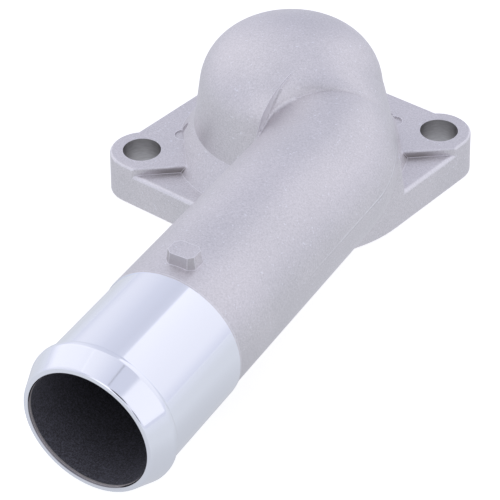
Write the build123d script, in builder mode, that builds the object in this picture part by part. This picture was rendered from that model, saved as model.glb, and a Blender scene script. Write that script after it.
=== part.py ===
from build123d import *
import os
from math import acos, cos, radians, sin, tan

os.makedirs("parts", exist_ok=True)

# Mounting flange: two bolt ears on a round body, lying on the gasket face at Z = 0
bolt_spacing = 82.0       # centre to centre of the two bolt holes
bolt_turn = 35.6          # the bolt line's turn from square to the neck
bolt_hole = 10.5          # clearance for an M10 screw
flange_height = 12.0      # gasket face to the top of the ears
flange_radius = 37.1      # round body at the gasket face
ear_radius = 9.0          # ear around each bolt hole
back_inset = 2.1          # the back edges lie this much further in than the front ones
flange_draft = 1.2        # degrees
land_drop = 2.1           # the front corners lie this much below the ears
ear_edge = 0.8            # edge radius round the raised ears
land_edge = 1.3           # edge radius round the lower front corners
step_edge = 0.5           # along the top of the step between them

# Neck: a cast tube parallel to the gasket face
neck_height = 22.4        # its axis above the gasket face
neck_side = 22.6          # spigot axis to the side of the chamber's centre
neck_reach = 135.0        # chamber centre to the mouth
neck_radius = 18.9        # as cast
core_shift = 0.5          # the cast tube lies this much to the left of the turned spigot
bend_radius = 24.4        # centreline of the bend behind the neck

# Hose spigot, turned on the end of the neck
spigot_radius = 19.0
spigot_length = 37.0      # mouth to the end of the turned band
rim_radius = 17.9
bead_radius = 19.9
bead_start = 6.0          # mouth to the crest of the bead
bead_width = 2.0
bead_back = 4.0           # ramp behind the crest
bore_radius = 16.0
bore_chamfer = 0.4

# Domed water chamber over the gasket face, on a conical skirt
shoulder_radius = 16.0
shoulder_centre = 8.75    # shoulder centre, out from the chamber's axis
shoulder_height = 17.9    # shoulder centre above the ears
crown_start = 60.0        # degrees above level, where the shoulder runs into the flatter crown
wall_draft = 8.0          # degrees
dome_foot = 6.6           # foot of the dome above the ears
foot_round = 1.5          # blend between the dome and the skirt
skirt_radius = 32.3       # foot of the skirt, on the lower front corners
skirt_flat = 29.3         # flats on the skirt that clear the bolt heads
dimple_radius = 2.4       # dimple at the back end of each flat
dimple_back = 5.8         # behind the bolt line
dimple_depth = 0.4        # below the top of the ear

# Throat: the passage from the chamber to the bend, shouldered where it joins the chamber
throat_length = 20.1      # bolt line to the bend
throat_rounds = ((0.0, 25.6), (7.0, 24.8), (13.0, 23.3), (17.0, 21.7))  # from the bolt line, radius
belly_flare = 3.2         # the wall under the throat stands this much further out at its foot

# Valley: a steep cheek cut into the dome beside the throat
cheek_turn = -14.0        # degrees, the way the cheek faces
cheek_lean = -5.0         # degrees, overhanging a little
cheek_offset = 7.85       # from the chamber's centre at ear height
valley_end = 6.8          # in front of the chamber's centre

# Inside
wall = 3.6                # wall of the chamber
seat_radius = 27.0        # recess for the rim of a 54 mm thermostat
seat_depth = 3.0

# Casting pad on top of the neck, beside the turned band
pad_gap = 4.9             # from the end of the turned band
pad_length = 5.4
pad_width = 7.2
pad_height = 3.0          # above the neck
pad_taper = 8.0           # degrees
pad_corner = 1.2

bolt_x = Vector(cos(radians(bolt_turn)), sin(radians(bolt_turn)), 0)
bolt_y = Vector(-sin(radians(bolt_turn)), cos(radians(bolt_turn)), 0)
cast_side = neck_side - core_shift
lower_corner = flange_height - land_drop
far = 2 * neck_reach

# The throat runs square to the bolt line, and the bend turns it into the neck
throat_end = (cast_side - bend_radius * (1 - cos(radians(bolt_turn)))
              - throat_length * sin(radians(bolt_turn))) / cos(radians(bolt_turn))
bend_start = (throat_end * sin(radians(bolt_turn)) - throat_length * cos(radians(bolt_turn))
              - bend_radius * sin(radians(bolt_turn)))


def bolt_frame(height=0.0):
    """Level plane at a height, with its x along the line of the bolt holes."""
    return Plane(origin=(0, 0, height), x_dir=bolt_x, z_dir=(0, 0, 1))


def across_throat(forward):
    """Upright plane across the throat, this far in front of the bolt line."""
    return Plane(origin=bolt_y * -forward, x_dir=bolt_x, z_dir=bolt_y * -1)


def across_neck(y):
    """Upright plane across the neck, facing the mouth; its origin is on the gasket face."""
    return Plane(origin=(0, y, 0), x_dir=(1, 0, 0), z_dir=(0, -1, 0))


def facing(turn, lift, offset):
    """Plane with its normal turned from +X and lifted, at an offset from the centre at ear height."""
    level = cos(radians(lift))
    normal = Vector(level * cos(radians(turn)), level * sin(radians(turn)), sin(radians(lift)))
    return Plane(origin=Vector(0, 0, flange_height) + normal * offset, z_dir=normal)


def web(side, way, grow=0.0):
    """Block between the round body and an ear, out to the tangent they share in front or behind."""
    ear = Vector(side * bolt_spacing / 2, 0)
    lean = acos(2 * (flange_radius - ear_radius) / bolt_spacing)
    tangent = Vector(side * cos(lean), way * sin(lean))
    with BuildPart() as block:
        for height in (0, flange_height):
            step = grow - height * tan(radians(flange_draft))
            with BuildSketch(bolt_frame(height)):
                with BuildLine():
                    Polyline((0, 0), tangent * (flange_radius + step),
                             ear + tangent * (ear_radius + step), ear, close=True)
                make_face()
        loft()
    return block.part


def drafted_disc(radius):
    """Round of the flange, narrowing upwards by its draft."""
    return Cone(radius, radius - flange_height * tan(radians(flange_draft)), flange_height,
                align=(Align.CENTER, Align.CENTER, Align.MIN))


def passage(inset, mouth):
    """Throat, bend and neck as one solid bar up to the mouth plane, set in by a wall."""
    radius = neck_radius - inset
    side = cast_side + (core_shift if inset > 0 else 0)
    bend = bend_radius + side - cast_side
    start = throat_end + side - cast_side
    with BuildPart() as bar:
        for forward, throat_radius in throat_rounds + ((throat_length, neck_radius),):
            with BuildSketch(across_throat(forward)):
                with Locations((start + neck_radius - throat_radius, neck_height)):
                    Circle(throat_radius - inset)
        loft()
        with BuildLine() as centreline:
            CenterArc((side - bend, bend_start, neck_height), bend, 0, bolt_turn)
        with BuildSketch(across_neck(bend_start)) as ring:
            with Locations((side, neck_height)):
                Circle(radius)
        sweep(path=centreline.line)
        extrude(ring.sketch, amount=neck_reach + bend_start - mouth)
    return bar.part


def dome_side(z):
    """Radius of the dome's drafted wall at a height."""
    top = flange_height + shoulder_height + shoulder_radius * sin(radians(wall_draft))
    top_radius = shoulder_centre + shoulder_radius * cos(radians(wall_draft))
    return top_radius + (top - z) * tan(radians(wall_draft))


def dome_solid(inset):
    """Domed chamber down to the gasket face, set in by a wall."""
    shoulder = flange_height + shoulder_height
    crown_radius = shoulder_radius + shoulder_centre / cos(radians(crown_start)) - inset
    crown_centre = shoulder - shoulder_centre * tan(radians(crown_start))

    def on_shoulder(angle):
        reach = shoulder_radius - inset
        return (shoulder_centre + reach * cos(radians(angle)), shoulder + reach * sin(radians(angle)))

    def on_crown(angle):
        return (crown_radius * cos(radians(angle)), crown_centre + crown_radius * sin(radians(angle)))

    wall_top = on_shoulder(wall_draft)
    wall_foot = (wall_top[0] + wall_top[1] * tan(radians(wall_draft)), 0)
    with BuildPart() as solid:
        with BuildSketch(Plane.XZ):
            with BuildLine():
                Polyline(on_crown(90), (0, 0), wall_foot, wall_top)
                ThreePointArc(wall_top, on_shoulder((wall_draft + crown_start) / 2),
                              on_shoulder(crown_start))
                ThreePointArc(on_shoulder(crown_start), on_crown((crown_start + 90) / 2), on_crown(90))
            make_face()
        revolve(axis=Axis.Z)
    return solid.part


def valley_solid(inset, filling):
    """What the valley takes out of the dome over the throat, or out of the chamber inside it."""
    with BuildPart() as valley:
        with BuildSketch(facing(cheek_turn, cheek_lean, cheek_offset - inset)):
            Rectangle(far, far)
        extrude(amount=far)
        split(bisect_by=across_neck(inset - valley_end), keep=Keep.TOP)
        split(bisect_by=Plane.XY.offset(neck_height), keep=Keep.TOP)
        add(filling, mode=Mode.SUBTRACT)
    return valley.part


def on_step(edge):
    """True for an edge along the step between the ears and the lower front corners."""
    return abs((edge @ 0.5).dot(bolt_y) + ear_radius) < land_drop / 2 and edge.length > flange_radius


# Flange: tangent to the ears in front, and further in behind, where the ears stand proud
with BuildPart() as flange:
    drafted_disc(flange_radius)
    with BuildSketch(bolt_frame()):
        with Locations((0, far / 2)):
            Rectangle(far, far)
    extrude(amount=flange_height, mode=Mode.SUBTRACT)
    drafted_disc(flange_radius - back_inset)
    for side in (-1, 1):
        with Locations(bolt_x * side * bolt_spacing / 2):
            drafted_disc(ear_radius)
        add(web(side, -1))
        add(web(side, 1, -back_inset))
    with BuildSketch(bolt_frame(flange_height)):
        with Locations((0, -ear_radius - far / 2)):
            Rectangle(far, far)
    extrude(amount=-land_drop, mode=Mode.SUBTRACT)
    rims = flange.edges().filter_by_position(Axis.Z, lower_corner, lower_corner)
    fillet(rims.filter_by(lambda e: not on_step(e)), land_edge)
    rims = flange.edges().filter_by_position(Axis.Z, flange_height, flange_height)
    fillet(rims.filter_by(lambda e: not on_step(e)), ear_edge)
    rims = flange.edges().filter_by_position(Axis.Z, flange_height, flange_height)
    fillet(rims.filter_by(on_step), step_edge)

# Skirt, blended into the dome, with flats beside the bolt heads
foot_z = flange_height + dome_foot
skirt_top = foot_z + 2 * foot_round
with BuildPart() as skirt:
    with BuildSketch(Plane.XZ) as skirt_section:
        with BuildLine():
            Polyline((0, 0), (skirt_radius, 0), (skirt_radius, lower_corner), (dome_side(foot_z), foot_z),
                     (dome_side(skirt_top), skirt_top), (0, skirt_top), close=True)
        make_face()
        foot = skirt_section.vertices().sort_by_distance((dome_side(foot_z), 0, foot_z))[0]
        fillet(foot, foot_round)
    revolve(axis=Axis.Z)
    with BuildSketch(bolt_frame(flange_height)):
        with Locations((-skirt_flat - far / 2, 0), (skirt_flat + far / 2, 0)):
            Rectangle(far, far)
    extrude(amount=far, mode=Mode.SUBTRACT)

# Belly: the wall under the throat, down to the gasket face
with BuildPart() as belly:
    with BuildSketch(across_throat(0)):
        with BuildLine():
            Polyline((throat_end - neck_radius, 0), (throat_end + neck_radius + belly_flare, 0),
                     (throat_end + neck_radius, neck_height), (throat_end - neck_radius, neck_height),
                     close=True)
        make_face()
    extrude(amount=far)
    with BuildSketch(bolt_frame()):
        Circle(flange_radius)
    extrude(amount=neck_height, taper=flange_draft, mode=Mode.INTERSECT)

# Hose spigot with its bead, turned about its own axis
bead_end = bead_start + bead_width
spigot_axis = Axis((neck_side, 0, neck_height), (0, -1, 0))
with BuildPart() as spigot:
    with BuildSketch(Plane(origin=(neck_side, -neck_reach, neck_height))):
        with BuildLine():
            Polyline((0, 0), (rim_radius, 0), (bead_radius, bead_start), (bead_radius, bead_end),
                     (spigot_radius, bead_end + bead_back), (spigot_radius, spigot_length),
                     (0, spigot_length), close=True)
        make_face()
    revolve(axis=spigot_axis)

# Casting pad
pad_top = neck_height + neck_radius + pad_height
pad_middle = -neck_reach + spigot_length + pad_gap + pad_length / 2
with BuildPart() as pad:
    with BuildSketch(Plane(origin=(cast_side, pad_middle, pad_top), x_dir=(1, 0, 0), z_dir=(0, 0, -1))):
        pad_face = Rectangle(pad_width, pad_length)
        chamfer(pad_face.vertices(), pad_corner)
    extrude(amount=2 * pad_height, taper=-pad_taper)

# Outer bar of throat, bend and neck, and the water way in it
neck_bar = passage(0, spigot_length)
water_way = passage(neck_radius - bore_radius, 0)
dome = dome_solid(0) - valley_solid(0, neck_bar)
chamber = dome_solid(wall) - valley_solid(wall, water_way)

with BuildPart() as housing:
    add(dome)
    add(flange.part)
    add(skirt.part)
    add(belly.part)
    add(neck_bar)
    add(spigot.part)
    add(pad.part)
    # Water way, the thermostat's seat and the gasket face
    add(chamber, mode=Mode.SUBTRACT)
    add(water_way, mode=Mode.SUBTRACT)
    with BuildSketch():
        Circle(seat_radius)
    extrude(amount=seat_depth, mode=Mode.SUBTRACT)
    with BuildSketch():
        Rectangle(2 * far, 2 * far)
    extrude(amount=-far, mode=Mode.SUBTRACT)
    with Locations(bolt_frame(flange_height)):
        with Locations((-bolt_spacing / 2, 0), (bolt_spacing / 2, 0)):
            Hole(bolt_hole / 2)
        for side in (-skirt_flat, skirt_flat):
            with Locations((side, dimple_back, -dimple_depth)):
                Cone(dimple_radius, dimple_radius / 2, dome_foot,
                     align=(Align.CENTER, Align.CENTER, Align.MIN), mode=Mode.SUBTRACT)
    chamfer(housing.edges().group_by(Axis.Y)[0].sort_by(SortBy.RADIUS)[0], bore_chamfer)

housing.part.label = "housing"
export_step(housing.part, "parts/housing.step")
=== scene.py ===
import math
from types import SimpleNamespace

import bmesh
import bpy
from mathutils import Euler, Matrix, Vector


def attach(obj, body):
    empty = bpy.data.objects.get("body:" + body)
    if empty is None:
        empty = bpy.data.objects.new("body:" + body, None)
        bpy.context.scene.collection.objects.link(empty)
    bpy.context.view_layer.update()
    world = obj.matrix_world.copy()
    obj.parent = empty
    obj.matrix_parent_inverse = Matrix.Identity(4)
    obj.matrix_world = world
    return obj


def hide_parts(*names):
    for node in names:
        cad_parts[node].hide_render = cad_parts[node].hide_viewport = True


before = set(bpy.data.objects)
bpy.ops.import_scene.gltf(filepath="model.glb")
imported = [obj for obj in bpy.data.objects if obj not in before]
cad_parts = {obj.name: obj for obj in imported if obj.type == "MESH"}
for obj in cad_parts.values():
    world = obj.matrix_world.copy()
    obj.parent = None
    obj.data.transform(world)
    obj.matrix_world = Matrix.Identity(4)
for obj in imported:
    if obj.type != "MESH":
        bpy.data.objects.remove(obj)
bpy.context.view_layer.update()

MM = 0.001

# Neck and spigot, as in the housing's own sizes
SPIGOT_SIDE = 22.6 * MM
SPIGOT_HEIGHT = 22.4 * MM
MOUTH = -135.0 * MM
BAND_END = -98.0 * MM
BORE = 16.0 * MM
LIP_DEPTH = 0.78 * MM
BORE_END = -24.0 * MM
BEND_START = -31.0 * MM

# Flange, with the bolt line turned by BOLT_TURN
BOLT_TURN = math.radians(35.6)
BOLT_REACH = 41.0 * MM
BOLT_HOLE = 5.25 * MM
EAR_TOP = 12.0 * MM
LAND_TOP = 9.9 * MM
STEP_AHEAD = 9.0 * MM
DIMPLE_SIDE = 29.3 * MM
DIMPLE_BACK = 5.8 * MM
SKIRT_CLEAR = 34.0 * MM

# Top of the throat, where its lower crease is soft: to the side, along the neck, and from this height up
THROAT_SIDE = (12.0 * MM, 40.0 * MM)
THROAT_ALONG = (-30.0 * MM, 0.0)
THROAT_LOW = 33.0 * MM

# Casting pad, from its front to its back
PAD_FRONT = -97.0 * MM
PAD_BACK = -76.0 * MM

# Parting line on the side of the neck; towards the belly it rises
SEAM_HEIGHT = 24.5 * MM
SEAM_RISE = 3.4 * MM

# Turned spigot: radius and distance from the mouth, in mm, from inside the bore round to the band's end
SPIGOT_PROFILE = (
    (16.0, 37.6), (16.0, 0.45), (16.25, 0.0),                                     # bore and its chamfer
    (17.28, 0.0), (17.42, 0.12), (17.56, 0.31), (17.68, 0.55), (17.77, 0.78),     # rim
    (19.80, 5.85), (19.87, 6.05), (19.90, 6.3), (19.90, 7.0),                     # cone and bead
    (19.84, 7.3), (19.70, 7.55), (19.16, 8.1), (19.04, 8.26), (19.0, 8.5),        # ramp behind the bead
    (19.0, 36.9), (18.9, 37.0), (18.9, 37.6))                                     # barrel
SPIGOT_STEPS = 180

# Bottom of the valley between the dome and the throat, and how its corner is softened
VALLEY = (6.0 * MM, -22.0 * MM, 34.0 * MM)
VALLEY_REACH = 9.0 * MM
VALLEY_GRID = 0.45 * MM
VALLEY_PASSES = 14
VALLEY_SINK = 0.04 * MM

# A skin is drawn this far past its open rim before it's cut flat
PAST_RIM = 3.0 * MM

# Sharpest bend that still shows round, in degrees
ROUND_CAST = 13
ROUND_THROAT = 40
ROUND_SPIGOT = 18

# Roughness of each skin, and the relief of the two that aren't smooth
CAST_ROUGH = 0.46
TURNED_ROUGH = 0.10
DRILLED_ROUGH = 0.35
BORE_ROUGH = 0.62
LIP_ROUGH = 0.5
CAST_RELIEF = 0.06 * MM
TURNED_RELIEF = 0.0035 * MM
CREASE_WIDTH = 0.32 * MM

# Colours of the casting's skin, with its painted highlights, painted light and painted shade
CAST = ((0.715, 0.695, 0.71), (0.75, 0.725, 0.74))
SPARK = (0.93, 0.93, 0.98)
NICK = (0.90, 0.90, 0.94)
# painted shade on the step's low wall, darkest in its corner
STEP_WALL_SHADE = (0.30, 0.275, 0.26)
# painted shade on the front wall of the casting pad
PAD_WALL_SHADE = (0.50, 0.48, 0.48)
# painted highlight on the flange's rounded upper edges
FLANGE_EDGE_HIGHLIGHT = (0.97, 0.96, 0.98)
# painted highlight on the dimple walls
DIMPLE_HIGHLIGHT = (0.93, 0.91, 0.93)
# painted light on the steep cheek over the shaded valley
CHEEK_LIGHT = (0.97, 0.95, 0.97)
# painted shade under the parting line's ridge, and painted highlight on the ridge
SEAM_SHADE = (0.45, 0.44, 0.46)
SEAM_HIGHLIGHT = (0.97, 0.97, 1.0)
# painted highlight along the casting's edges and creases
CREASE_HIGHLIGHT = (0.97, 0.96, 0.99)

# Colours of the machined parts and of the bore, with the painted shade of the chamfer and bore and the
# painted glint of the lip
TURNED = (0.93, 0.95, 1.0)
# painted shade on the mouth's chamfer
CHAMFER_SHADE = (0.22, 0.21, 0.22)
# painted glint on the bore's lip
LIP_GLINT = (0.60, 0.56, 0.54)
# painted shade of the deep bore, darker further in
BORE_SHADE = ((0.075, 0.073, 0.08), (0.20, 0.20, 0.24))
DRILLED = (0.50, 0.49, 0.49)

# Levels of the studio. The walls go by compass direction, in degrees from +X, and have a sharp step at 91
WALLS = ((0, 0.95), (18, 0.92), (36, 0.85), (50, 0.90), (70, 0.94), (90, 0.99), (92, 0.70), (105, 0.66),
         (125, 0.72), (145, 0.88), (160, 1.00), (178, 0.92), (205, 0.82), (225, 0.78), (238, 0.66),
         (250, 0.90), (262, 1.10), (282, 1.12), (300, 0.84), (320, 0.84), (340, 0.90))
SIDE_CEILING = 0.68
BACK_CEILING = 0.90
LOW = 0.70
RAIL = 0.42
GAP = 1.0
LENS = 0.08
STAND = 0.25
CEILING_START = 50
CEILING_FULL = 57
DARK_TINT = (0.96, 0.985, 1.16)
BRIGHT_TINT = (0.985, 0.99, 1.09)

# Ground: white to the eye; the metal sees a glowing grey card, a painted reflection of the floor with the
# spigot's painted shadow, brighter away from the spigot
GROUND_REACH = 3.0
GROUND_COLOUR = 0.5
GROUND_GLOW = 0.72
CARD_LIFT = 0.0002
CARD_CENTRE = (SPIGOT_SIDE, -115 * MM)
# painted shadow of the spigot at the card's centre, fading out ring by ring
CARD_SHADOW = (0.575, 0.59, 0.64)
CARD_RINGS = ((18 * MM, 80 * MM, (0.685, 0.705, 0.765)),
              (80 * MM, 320 * MM, (0.73, 0.75, 0.83)),
              (300 * MM, 2.0, (0.76, 0.78, 0.87)))

# Camera, fitted to the photo's outlines
CAMERA_PLACE = (0.25103, -0.44549, 0.37627)
CAMERA_TURN = (51.7813, 0.6655, 30.1905)
CAMERA_LENS = 164.485
CAMERA_SENSOR = 36.0
LENS_TURN = 304.7
LENS_HEIGHT = 41.5
STAND_TURN = 318
STAND_HEIGHT = 12


class Socket:
    """A shader value that takes Python's operators."""

    def __init__(self, finish, out):
        self.finish = finish
        self.out = out

    def _math(self, operation, *values):
        return self.finish.node("ShaderNodeMath", {"operation": operation}, dict(enumerate(values)))

    def __add__(self, other): return self._math("ADD", self, other)
    def __radd__(self, other): return self._math("ADD", other, self)
    def __sub__(self, other): return self._math("SUBTRACT", self, other)
    def __rsub__(self, other): return self._math("SUBTRACT", other, self)
    def __mul__(self, other): return self._math("MULTIPLY", self, other)
    def __rmul__(self, other): return self._math("MULTIPLY", other, self)
    def __pow__(self, other): return self._math("POWER", self, other)
    def __abs__(self): return self._math("ABSOLUTE", self)

    def either(self, other):
        """The larger of two values."""
        return self._math("MAXIMUM", self, other)

    def ramp(self, low, high):
        """0 below low, 1 above high and a smooth rise between them."""
        return self.finish.node("ShaderNodeMapRange", {"interpolation_type": "SMOOTHSTEP"},
                                {"Value": self, "From Min": low, "From Max": high})

    def fall(self, low, high):
        """1 below low, 0 above high and a smooth fall between them."""
        return 1 - self.ramp(low, high)

    def within(self, near, far):
        """For a squared distance: 1 nearer than near, 0 beyond far and a smooth fall between them."""
        return self.fall(near ** 2, far ** 2)


class Finish:
    """Node tree of one material or of the world."""

    def __init__(self, tree):
        self.tree = tree
        tree.nodes.clear()

    def node(self, kind, settings=None, inputs=None, out=0):
        """Add a node and give its output, or a list of outputs for a tuple of their names."""
        made = self.tree.nodes.new(kind)
        for name, value in (settings or {}).items():
            if name == "stops":
                self.stops(made.color_ramp, value)
            else:
                setattr(made, name, value)
        for name, value in (inputs or {}).items():
            socket = made.inputs[name]
            if isinstance(value, Socket):
                self.tree.links.new(value.out, socket)
            elif socket.type == "RGBA":
                socket.default_value = (*value, 1)
            else:
                socket.default_value = value
        if isinstance(out, tuple):
            return [Socket(self, made.outputs[name]) for name in out]
        return Socket(self, made.outputs[out]) if made.outputs else None

    def stops(self, ramp, stops):
        while len(ramp.elements) < len(stops):
            ramp.elements.new(0.5)
        for element, (place, level) in zip(ramp.elements, stops):
            element.position = place
            element.color = (level, level, level, 1)

    def parts(self, vector):
        return self.node("ShaderNodeSeparateXYZ", {}, {"Vector": vector}, ("X", "Y", "Z"))

    def vector(self, x, y, z):
        return self.node("ShaderNodeCombineXYZ", {}, {"X": x, "Y": y, "Z": z})

    def dot(self, vector, way):
        return self.node("ShaderNodeVectorMath", {"operation": "DOT_PRODUCT"}, {0: vector, 1: way}, "Value")

    def scale(self, colour, factor):
        """Colour brighter or darker by a factor, the same in all three channels."""
        return self.node("ShaderNodeVectorMath", {"operation": "SCALE"}, {0: colour, "Scale": factor})

    def mix(self, factor, a, b):
        """Colour a where the factor is 0, colour b where it's 1."""
        return self.node("ShaderNodeMix", {"data_type": "RGBA"}, {0: factor, 6: a, 7: b}, 2)

    def noise(self, vector, scale, detail=2.0, roughness=0.5):
        return self.node("ShaderNodeTexNoise", {},
                         {"Vector": vector, "Scale": scale, "Detail": detail, "Roughness": roughness})

    def bump(self, height, distance, strength, **under):
        """Relief, laid over another one where under gives its Normal."""
        return self.node("ShaderNodeBump", {},
                         {"Height": height, "Distance": distance, "Strength": strength, **under})

    def surface(self, colour, roughness, **more):
        shader = self.node("ShaderNodeBsdfPrincipled", {},
                           {"Base Color": colour, "Roughness": roughness, **more})
        self.node("ShaderNodeOutputMaterial", {}, {"Surface": shader})

    def glowing_surface(self, colour, roughness, glow, **more):
        self.surface(colour, roughness, **{"Emission Color": glow, "Emission Strength": 1.0}, **more)


def material(name):
    made = bpy.data.materials.new(name)
    made.use_nodes = True
    return made, Finish(made.node_tree)


def grey(level):
    return (level, level, level)


def bolt_axes():
    """The two bolt holes' axes, on the gasket face."""
    return [(side * BOLT_REACH * math.cos(BOLT_TURN), side * BOLT_REACH * math.sin(BOLT_TURN))
            for side in (-1, 1)]


def spot_on_housing(f):
    """Place, facing and grain of a spot on the housing; along and ahead go by the bolt line."""
    place = f.node("ShaderNodeTexCoord", out="Object")
    normal = f.node("ShaderNodeNewGeometry", out="Normal")
    x, y, z = f.parts(place)
    return SimpleNamespace(
        place=place, normal=normal, x=x, y=y, z=z, facing=f.parts(normal),
        along=x * math.cos(BOLT_TURN) + y * math.sin(BOLT_TURN),
        ahead=y * math.cos(BOLT_TURN) - x * math.sin(BOLT_TURN),
        from_axis=((x - SPIGOT_SIDE) ** 2 + (z - SPIGOT_HEIGHT) ** 2) ** 0.5,
        depth=y - MOUTH,
        grain=f.noise(place, 2100.0, 3.0, 0.65),
        fine=f.noise(place, 5200.0, 2.0, 0.6),
        nicks=f.noise(place, 420.0, 4.0, 0.6),
        rings=f.noise(f.vector(0.0, y, 0.0), 9000.0, 3.0, 0.7))


def turned_band(at):
    """The turned end of the neck, up to the sharp end of its band."""
    return at.y.fall(BAND_END + 0.04 * MM, BAND_END + 0.12 * MM)


def inside_bore(at):
    """The bore behind the painted glint of its lip, as far as the bend."""
    skin = at.from_axis.fall(BORE + 0.05 * MM, BORE + 0.10 * MM) * at.y.fall(BEND_START, BORE_END)
    return skin * at.depth.ramp(LIP_DEPTH, LIP_DEPTH + 0.17 * MM)


def bore_lip_glint(at):
    """The first millimetre of the bore, painted as a bright glint at the chamfer's inner edge."""
    wall = at.from_axis.fall(BORE + 0.02 * MM, BORE + 0.04 * MM)
    return wall * at.depth.fall(LIP_DEPTH, LIP_DEPTH + 0.17 * MM)


# painted shade on the chamfer at the mouth
def mouth_chamfer_shade(at):
    return at.from_axis.fall(BORE + 0.22 * MM, BORE + 0.26 * MM) * at.depth.fall(0.42 * MM, 0.5 * MM)


def drilled_holes(at):
    """Walls of the two bolt holes."""
    holes = 0.0
    for bolt_x, bolt_y in bolt_axes():
        off = ((at.x - bolt_x) ** 2 + (at.y - bolt_y) ** 2) ** 0.5
        holes = off.fall(BOLT_HOLE + 0.05 * MM, BOLT_HOLE + 0.15 * MM) + holes
    return holes


def crease_highlights(f, at):
    """Painted highlight: thin light lines along the casting's edges and creases, but not along the throat's
    softer lower crease.
    """
    rounded = f.node("ShaderNodeBevel", {"samples": 8}, {"Radius": CREASE_WIDTH})
    line = f.dot(rounded, at.normal).fall(0.965, 0.994)
    side = at.x.ramp(THROAT_SIDE[0] + MM, THROAT_SIDE[0] + 5 * MM)
    top = at.z.ramp(THROAT_LOW, THROAT_LOW + 3 * MM)
    behind_pad = at.y.ramp(-60 * MM, -50 * MM)
    return line * (1 - side * top * behind_pad) * (1 - turned_band(at))


def flange_edge_highlight(at):
    """Painted highlight on the rounded upper edges of the flange, outside the skirt."""
    edge = at.facing[2].ramp(0.2, 0.4) * at.facing[2].fall(0.9, 0.98)
    outside = (at.x ** 2 + at.y ** 2).ramp((SKIRT_CLEAR - 0.5 * MM) ** 2, (SKIRT_CLEAR + 0.5 * MM) ** 2)
    return edge * outside * at.z.fall(EAR_TOP, EAR_TOP + 0.2 * MM)


def step_wall_shade(at):
    """Low wall of the step from an ear to the lower front corner, with painted shade that is darkest at its
    foot.
    """
    wall = ((at.ahead + STEP_AHEAD) ** 2).within(0.5 * MM, 0.75 * MM)
    wall = wall * at.z.ramp(LAND_TOP - 0.1 * MM, LAND_TOP + 0.3 * MM)
    wall = wall * at.z.fall(EAR_TOP - 0.7 * MM, EAR_TOP - 0.1 * MM)
    wall = wall * (at.along ** 2).within(34 * MM, 41 * MM)
    return wall * (1 - at.z.ramp(LAND_TOP + 0.3 * MM, EAR_TOP) * 0.6)


def lit_dimple_wall(at):
    """Wall of the dimple beside each flat of the skirt, brightened with a painted highlight."""
    dimple = ((abs(at.along) - DIMPLE_SIDE) ** 2 + (at.ahead - DIMPLE_BACK) ** 2).within(3.5 * MM, 4.2 * MM)
    return dimple * at.facing[2].fall(0.88, 0.97) * at.z.fall(EAR_TOP + 0.1 * MM, EAR_TOP + 0.3 * MM)


def lit_valley_cheek(at):
    """The steep cheek over the valley, lightened with painted light where the corner falls dark."""
    x, y, z = VALLEY
    close_by = ((at.x - x) ** 2 + (at.y - y) ** 2 + (at.z - z) ** 2).within(11 * MM, 14 * MM)
    return at.facing[0].ramp(0.6, 0.85) * close_by


def pad_wall_shade(at):
    """Front wall of the casting pad, which faces the spigot, darkened with painted shade."""
    pad = at.y.ramp(PAD_FRONT - 0.5 * MM, PAD_FRONT) * at.y.fall(PAD_BACK, PAD_BACK + MM)
    return at.facing[1].fall(-0.7, -0.4) * pad


def parting_line(at):
    """Fine, broken ridge on the side of the neck and belly as a painted highlight, and the faint painted
    shade under it.
    """
    height = at.z - SEAM_HEIGHT - at.y.ramp(-27 * MM, -2 * MM) * SEAM_RISE
    on_side = at.x.ramp(30 * MM, 32 * MM)
    along_neck = at.y.ramp(-80 * MM, -24 * MM)
    before_flange = at.y.fall(-3 * MM, 4 * MM)
    broken = 0.35 + at.nicks.ramp(0.35, 0.6) * 0.65
    reach = on_side * along_neck * before_flange * broken
    ridge = abs(height).fall(0.10 * MM, 0.28 * MM) * reach
    shade = abs(height + 0.4 * MM).fall(0.10 * MM, 0.35 * MM) * reach
    return ridge, shade


def cast_skin(f, at, cheek, dimple):
    """Grey skin with a fine grain and bright specks, with painted highlights and light on edges, dimples and
    the valley's cheek, and painted shade in the step's corners and on the pad's wall.
    """
    speck = f.noise(at.place, 1300.0, 2.0, 0.4)
    cloud = f.noise(at.place, 45.0, 3.0)
    ridge, ridge_shade = parting_line(at)
    shade = 1 + (at.grain - 0.5) * 0.52 + (at.fine - 0.5) * 0.44
    colour = f.scale(f.mix(cloud.ramp(0.35, 0.65), *CAST), shade)
    for mask, tone in ((speck.ramp(0.68, 0.72) * 0.55, SPARK),
                       (at.nicks.ramp(0.70, 0.73) * 0.5, NICK),
                       (step_wall_shade(at) * 0.8, STEP_WALL_SHADE),
                       (pad_wall_shade(at) * 0.6, PAD_WALL_SHADE),
                       (flange_edge_highlight(at) * (0.15 + at.grain * 0.5), FLANGE_EDGE_HIGHLIGHT),
                       (dimple * 0.8, DIMPLE_HIGHLIGHT),
                       (cheek * 0.8, CHEEK_LIGHT),
                       (ridge_shade * 0.25, SEAM_SHADE),
                       (ridge * 0.65, SEAM_HIGHLIGHT)):
        colour = f.mix(mask, colour, tone)
    return colour


def turned_skin(f, at):
    """Bright turned metal, faintly ringed, with painted shade on the chamfer of the mouth."""
    return f.mix(mouth_chamfer_shade(at), f.scale(TURNED, 1 + (at.rings - 0.5) * 0.10), CHAMFER_SHADE)


def shaded_bore_skin(f, at):
    """Dark, speckled skin, darkened with painted shade of the deep bore and darker still in its depth."""
    colour = f.mix((at.grain * 0.5 + at.fine * 0.5).ramp(0.42, 0.62), *BORE_SHADE)
    return f.scale(colour, 1 - at.depth.ramp(2 * MM, 30 * MM) * 0.5)


def drilled_skin(f, at):
    """Wall of a bolt hole, with the streaks that drilling leaves round it."""
    streaks = f.noise(f.vector(at.x * 0.2, at.y * 0.2, at.z), 2600.0, 2.0)
    return f.scale(DRILLED, 1 + (streaks - 0.5) * 0.5)


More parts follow.
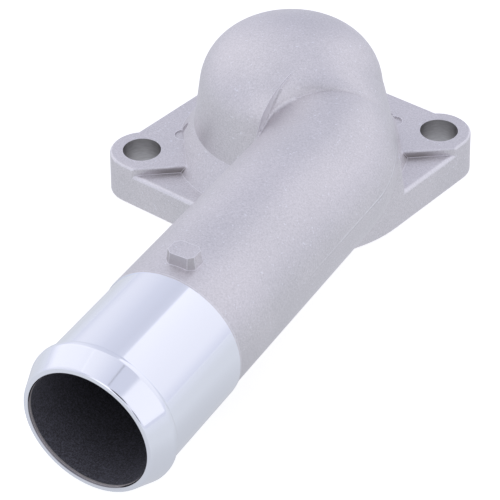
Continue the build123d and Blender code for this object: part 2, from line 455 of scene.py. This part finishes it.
def housing_metal():
    """Fine-grained cast aluminium, bright where it is turned, with drilled holes, a bore dark with painted
    shade, and painted highlights and shade on its edges and corners.
    """
    made, f = material("cast_aluminium")
    at = spot_on_housing(f)
    turned = turned_band(at)
    drilled = drilled_holes(at)
    bore = inside_bore(at)
    lip = bore_lip_glint(at)
    crease = crease_highlights(f, at)
    cheek = lit_valley_cheek(at)
    dimple = lit_dimple_wall(at)

    colour = f.mix(turned, cast_skin(f, at, cheek, dimple), turned_skin(f, at))
    colour = f.mix(drilled, colour, drilled_skin(f, at))
    # painted highlight along the edges and creases
    colour = f.mix(crease * 0.75, colour, CREASE_HIGHLIGHT)
    # painted shade inside the bore
    colour = f.mix(bore, colour, shaded_bore_skin(f, at))
    # painted glint on the bore's lip
    colour = f.mix(lip, colour, LIP_GLINT)

    cast_rough = CAST_ROUGH + (at.grain - 0.5) * 0.2
    turned_rough = TURNED_ROUGH + (at.rings - 0.5) * 0.10
    roughness = cast_rough + (turned_rough - cast_rough) * turned
    for mask, level in ((drilled, DRILLED_ROUGH), (bore, BORE_ROUGH), (lip, LIP_ROUGH)):
        roughness = roughness + (level - roughness) * mask

    # less metal under the painted glint, highlights and light (lip, creases, cheek, dimples), so that they
    # show bright
    metal = 1 - bore * 0.8
    for mask, share in ((lip, 0.8), (crease, 0.6), (cheek, 0.7), (dimple, 0.8)):
        metal = metal * (1 - mask * share)

    wide_rings = f.noise(f.vector(0.0, at.y, 0.3), 1800.0, 2.0)
    relief = f.bump((at.grain * 0.6 + at.fine * 0.4) * (1 - turned), CAST_RELIEF, 0.6)
    relief = f.bump((at.rings * 0.5 + wide_rings * 0.5) * turned, TURNED_RELIEF, 0.8, Normal=relief)
    f.surface(colour, roughness, Metallic=metal, Normal=relief)
    return made


def ground_white():
    """White ground that keeps a faint shadow of the housing."""
    made, f = material("ground")
    camera, glossy, through = f.node("ShaderNodeLightPath",
                                     out=("Is Camera Ray", "Is Glossy Ray", "Is Transmission Ray"))
    seen = camera.either(glossy.either(through))
    f.glowing_surface(grey(GROUND_COLOUR), 0.9, f.mix(seen, grey(0.0), grey(GROUND_GLOW)))
    return made


def card_grey():
    """Glowing grey that gets brighter ring by ring, away from the spigot: a painted shadow of the spigot."""
    made, f = material("card")
    x, y, _ = f.parts(f.node("ShaderNodeTexCoord", out="Object"))
    away = ((x - CARD_CENTRE[0]) ** 2 + (y - CARD_CENTRE[1]) ** 2) ** 0.5
    glow = CARD_SHADOW
    for start, end, tone in CARD_RINGS:
        glow = f.mix(away.ramp(start, end), glow, tone)
    f.glowing_surface(grey(0.0), 1.0, glow, **{"Specular IOR Level": 0.0})
    return made


def compass(turn, height):
    """Direction at a compass turn and a height above level, both in degrees."""
    turn, height = math.radians(turn), math.radians(height)
    return (math.cos(height) * math.cos(turn), math.cos(height) * math.sin(turn), math.sin(height))


def patch(f, way, turn, height, inner, outer):
    """Round patch of the studio, full within the inner angle and gone at the outer one, in degrees."""
    near, far = math.cos(math.radians(inner)), math.cos(math.radians(outer))
    return f.dot(way, compass(turn, height)).ramp(far, near)


def studio(scene):
    """Bright walls all round, between a dimmer ceiling and the ground, with the dark opening for the lens."""
    world = bpy.data.worlds.new("studio")
    world.use_nodes = True
    scene.world = world
    f = Finish(world.node_tree)
    way = f.node("ShaderNodeTexCoord", out="Generated")
    x, y, z = f.parts(way)

    round_turn = f.node("ShaderNodeMath", {"operation": "ARCTAN2"}, {0: y, 1: x}) * (0.5 / math.pi)
    round_turn = f.node("ShaderNodeMath", {"operation": "FRACT"}, {0: round_turn + 1.0})
    stops = [(turn / 360, level) for turn, level in (*WALLS, (360, WALLS[0][1]))]
    walls = f.node("ShaderNodeValToRGB", {"stops": stops}, {"Fac": round_turn})

    ceiling = f.mix(x.ramp(-0.5, 0.35), grey(BACK_CEILING), grey(SIDE_CEILING))
    high = z.ramp(math.sin(math.radians(CEILING_START)), math.sin(math.radians(CEILING_FULL)))
    soft_low = z.fall(-0.10, 0.28)
    sharp_low = z.fall(0.06, 0.075)
    low = soft_low + (sharp_low - soft_low) * x.ramp(0.93, 0.985)
    middle = (y ** 2).within(0.2, 0.3) * high
    rail = ((x - z * 0.224) ** 2).within(0.010, 0.020) * middle
    gap = ((x + z * 0.55) ** 2).within(0.008, 0.016) * middle
    opening = patch(f, way, LENS_TURN, LENS_HEIGHT, 11, 16)
    stand = patch(f, way, STAND_TURN, STAND_HEIGHT, 7, 12)

    level = f.mix(high, walls, ceiling)
    for mask, tone in ((low, LOW), (rail, RAIL), (gap, GAP), (opening, LENS), (stand, STAND)):
        level = f.mix(mask, level, grey(tone))
    bright = f.node("ShaderNodeRGBToBW", {}, {"Color": level}).ramp(0.65, 0.95)
    tint = f.mix(bright, DARK_TINT, BRIGHT_TINT)
    colour = f.node("ShaderNodeVectorMath", {"operation": "MULTIPLY"}, {0: level, 1: tint})
    light = f.node("ShaderNodeBackground", {}, {"Color": colour, "Strength": 1.0})
    f.node("ShaderNodeOutputWorld", {}, {"Surface": light})


def staged_flat(name, corners, metal, scene):
    """Flat piece of the set, which isn't part of the housing."""
    mesh = bpy.data.meshes.new(name)
    mesh.from_pydata(corners, [], [tuple(range(len(corners)))])
    mesh.materials.append(metal)
    flat = bpy.data.objects.new(name, mesh)
    scene.collection.objects.link(flat)
    return flat


def ground(scene):
    corners = [(x * GROUND_REACH, y * GROUND_REACH, 0) for x, y in ((-1, -1), (1, -1), (1, 1), (-1, 1))]
    staged_flat("ground", corners, ground_white(), scene)


def grey_card(scene):
    """Grey card round the housing's foot that only the metal shows, a painted reflection of the shaded floor.
    """
    turns = [math.radians(turn) for turn in range(0, 360, 10)]
    corners = [(GROUND_REACH * math.cos(turn), GROUND_REACH * math.sin(turn), CARD_LIFT) for turn in turns]
    card = staged_flat("card", corners, card_grey(), scene)
    card.visible_camera = False
    card.visible_diffuse = False
    card.visible_shadow = False
    card.visible_transmission = False


def photo_camera(scene):
    data = bpy.data.cameras.new("camera")
    data.sensor_width = CAMERA_SENSOR
    data.lens = CAMERA_LENS
    camera = bpy.data.objects.new("camera", data)
    scene.collection.objects.link(camera)
    camera.location = CAMERA_PLACE
    camera.rotation_euler = Euler([math.radians(turn) for turn in CAMERA_TURN])
    scene.camera = camera


def skins():
    """Outer and inner skin of the housing, parted at the gasket face and at the mouth."""
    outer = bmesh.new()
    outer.from_mesh(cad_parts["housing"].data)
    bmesh.ops.remove_doubles(outer, verts=outer.verts, dist=1e-8)
    flat = [face for face in outer.faces if all(abs(v.co.z) < 1e-6 for v in face.verts)
            or all(abs(v.co.y - MOUTH) < 1e-6 for v in face.verts)]
    bmesh.ops.delete(outer, geom=flat, context="FACES")
    outer.faces.ensure_lookup_table()
    crown = max(outer.faces, key=lambda face: face.calc_center_median().z)
    outside = {crown}
    waiting = [crown]
    while waiting:
        for edge in waiting.pop().edges:
            for face in edge.link_faces:
                if face not in outside:
                    outside.add(face)
                    waiting.append(face)
    numbers = {face.index for face in outside}
    inner = outer.copy()
    for skin, keeps_outside in ((outer, True), (inner, False)):
        spare = [face for face in skin.faces if (face.index in numbers) != keeps_outside]
        bmesh.ops.delete(skin, geom=spare, context="FACES")
    return outer, inner


def rims(skin):
    """Open rims of a skin, each with its mean place."""
    skin.edges.index_update()
    left = {edge.index: edge for edge in skin.edges if len(edge.link_faces) == 1}
    while left:
        rim = [left.pop(min(left))]
        for edge in rim:
            for vert in edge.verts:
                rim += [left.pop(near.index) for near in vert.link_edges if near.index in left]
        ends = [v.co for edge in rim for v in edge.verts]
        yield rim, [sum(co[axis] for co in ends) / len(ends) for axis in range(3)]


def everything(shape):
    return shape.verts[:] + shape.edges[:] + shape.faces[:]


def corners_in_turn(skin, rim):
    """Corners of a closed rim, in turn from the first one."""
    skin.verts.index_update()
    left = set(rim)
    corners = [min((v for edge in rim for v in edge.verts), key=lambda v: v.index)]
    while left:
        last = corners[-1]
        edge = min((edge for edge in last.link_edges if edge in left),
                   key=lambda edge: edge.other_vert(last).index)
        left.discard(edge)
        corners.append(edge.other_vert(last))
    return corners[:-1]


def close(skin, rim, shift=None):
    """Close a rim with one flat face, drawn out by a shift where there is one."""
    ring = corners_in_turn(skin, rim)
    if shift:
        drawn = [skin.verts.new(corner.co + Vector(shift)) for corner in ring]
        for k in range(len(ring)):
            skin.faces.new((ring[k - 1], ring[k], drawn[k], drawn[k - 1]))
        ring = drawn
    skin.faces.new(ring)


def cut_flat(shape, place, facing):
    """Cut a shape off at a plane and close the cut."""
    cut = bmesh.ops.bisect_plane(shape, geom=everything(shape), plane_co=place, plane_no=facing,
                                 clear_outer=True)["geom_cut"]
    close(shape, [edge for edge in cut if isinstance(edge, bmesh.types.BMEdge) and len(edge.link_faces) == 1])


def in_triangles(shape):
    bmesh.ops.triangulate(shape, faces=[face for face in shape.faces if len(face.verts) > 4])


def object_of(name, shape):
    in_triangles(shape)
    mesh = bpy.data.meshes.new(name)
    shape.to_mesh(mesh)
    shape.free()
    made = bpy.data.objects.new(name, mesh)
    bpy.context.scene.collection.objects.link(made)
    return made


def applied(thing, kind, **settings):
    """Apply one modifier to an object."""
    modifier = thing.modifiers.new(kind, kind)
    for name, value in settings.items():
        setattr(modifier, name, value)
    mesh = bpy.data.meshes.new_from_object(thing.evaluated_get(bpy.context.evaluated_depsgraph_get()))
    thing.modifiers.clear()
    thing.data = mesh


def closed_outside(outer):
    """Close the outer skin past the gasket face and the band, with no bolt holes in it."""
    drill_walls = [face for face in outer.faces
                   if any(all(abs(math.hypot(v.co.x - bolt_x, v.co.y - bolt_y) - BOLT_HOLE) < 0.02 * MM
                              for v in face.verts) for bolt_x, bolt_y in bolt_axes())]
    bmesh.ops.delete(outer, geom=drill_walls, context="FACES")
    bmesh.ops.bisect_plane(outer, geom=everything(outer), plane_co=(0, BAND_END + 0.01 * MM, 0),
                           plane_no=(0, -1, 0), clear_outer=True)
    for rim, (_, y, z) in list(rims(outer)):
        if y < BAND_END + MM:
            close(outer, rim, (0, -PAST_RIM, 0))
        elif z < MM:
            close(outer, rim, (0, 0, -PAST_RIM))
        else:
            close(outer, rim)
    bmesh.ops.recalc_face_normals(outer, faces=outer.faces[:])


def closed_hollow(inner):
    """Close the inner skin past the gasket face and the mouth, and add the two bolt holes to it."""
    for rim, (_, y, _) in list(rims(inner)):
        close(inner, rim, (0, -PAST_RIM, 0) if y < BAND_END else (0, 0, -PAST_RIM))
    for bolt_x, bolt_y in bolt_axes():
        bmesh.ops.create_cone(inner, cap_ends=True, segments=72, radius1=BOLT_HOLE, radius2=BOLT_HOLE,
                              depth=2.5 * EAR_TOP, matrix=Matrix.Translation((bolt_x, bolt_y, EAR_TOP / 2)))
    bmesh.ops.recalc_face_normals(inner, faces=inner.faces[:])


def soften_valley(body, corner):
    """Fill the bottom of the valley with the soft corner that a casting has there."""
    applied(corner, "REMESH", mode="VOXEL", voxel_size=VALLEY_GRID)
    applied(corner, "SMOOTH", factor=0.5, iterations=VALLEY_PASSES)
    applied(corner, "DISPLACE", strength=-VALLEY_SINK, mid_level=0.0)
    ball = bmesh.new()
    bmesh.ops.create_icosphere(ball, subdivisions=4, radius=VALLEY_REACH,
                               matrix=Matrix.Translation(VALLEY))
    ball = object_of("ball", ball)
    applied(corner, "BOOLEAN", operation="INTERSECT", object=ball, solver="MANIFOLD")
    applied(body, "BOOLEAN", operation="UNION", object=corner, solver="MANIFOLD")
    for spare in (corner, ball):
        bpy.data.objects.remove(spare)


def cast_body():
    """The casting, hollow, and cut flat at the gasket face and at the turned band."""
    outer, inner = skins()
    closed_outside(outer)
    closed_hollow(inner)
    hollow = object_of("hollow", inner)
    corner = object_of("valley_corner", outer.copy())
    body = object_of("housing_casting", outer)
    soften_valley(body, corner)
    whole = bmesh.new()
    whole.from_mesh(body.data)
    cut_flat(whole, (0, 0, 0), (0, 0, -1))
    cut_flat(whole, (0, BAND_END, 0), (0, -1, 0))
    bmesh.ops.recalc_face_normals(whole, faces=whole.faces[:])
    in_triangles(whole)
    whole.to_mesh(body.data)
    whole.free()
    applied(body, "BOOLEAN", operation="DIFFERENCE", object=hollow, solver="MANIFOLD")
    bpy.data.objects.remove(hollow)
    return body


def turned_spigot(shape):
    """Add the turned spigot with its bead and bore to a shape."""
    rings = []
    for step in range(SPIGOT_STEPS):
        turn = 2 * math.pi * step / SPIGOT_STEPS
        rings.append([shape.verts.new((SPIGOT_SIDE + radius * MM * math.cos(turn), MOUTH + depth * MM,
                                       SPIGOT_HEIGHT + radius * MM * math.sin(turn)))
                      for radius, depth in SPIGOT_PROFILE])
    faces = []
    for step in range(SPIGOT_STEPS):
        near, far = rings[step], rings[(step + 1) % SPIGOT_STEPS]
        for k in range(len(SPIGOT_PROFILE)):
            after = (k + 1) % len(SPIGOT_PROFILE)
            faces.append(shape.faces.new((near[k], near[after], far[after], far[k])))
    bmesh.ops.recalc_face_normals(shape, faces=faces)


def round_limit(edge):
    """Sharpest bend over an edge that still shows round."""
    if max(v.co.y for v in edge.verts) < BAND_END + MM:
        return math.radians(ROUND_SPIGOT)
    x, y, z = (edge.verts[0].co + edge.verts[1].co) / 2
    (left, right), (front, back) = THROAT_SIDE, THROAT_ALONG
    throat = left < x < right and front < y < back and z > THROAT_LOW
    return math.radians(ROUND_THROAT if throat else ROUND_CAST)


def make_housing():
    body = cast_body()
    shape = bmesh.new()
    shape.from_mesh(body.data)
    turned_spigot(shape)
    for face in shape.faces:
        face.smooth = True
    for edge in shape.edges:
        if len(edge.link_faces) == 2:
            edge.smooth = edge.calc_face_angle() < round_limit(edge)
    shape.to_mesh(body.data)
    shape.free()
    applied(body, "WEIGHTED_NORMAL", keep_sharp=True)
    body.data.materials.clear()
    body.data.materials.append(housing_metal())
    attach(body, "root")
    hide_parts("housing")


scene = bpy.context.scene
scene.view_settings.view_transform = "Standard"
make_housing()
ground(scene)
grey_card(scene)
studio(scene)
photo_camera(scene)
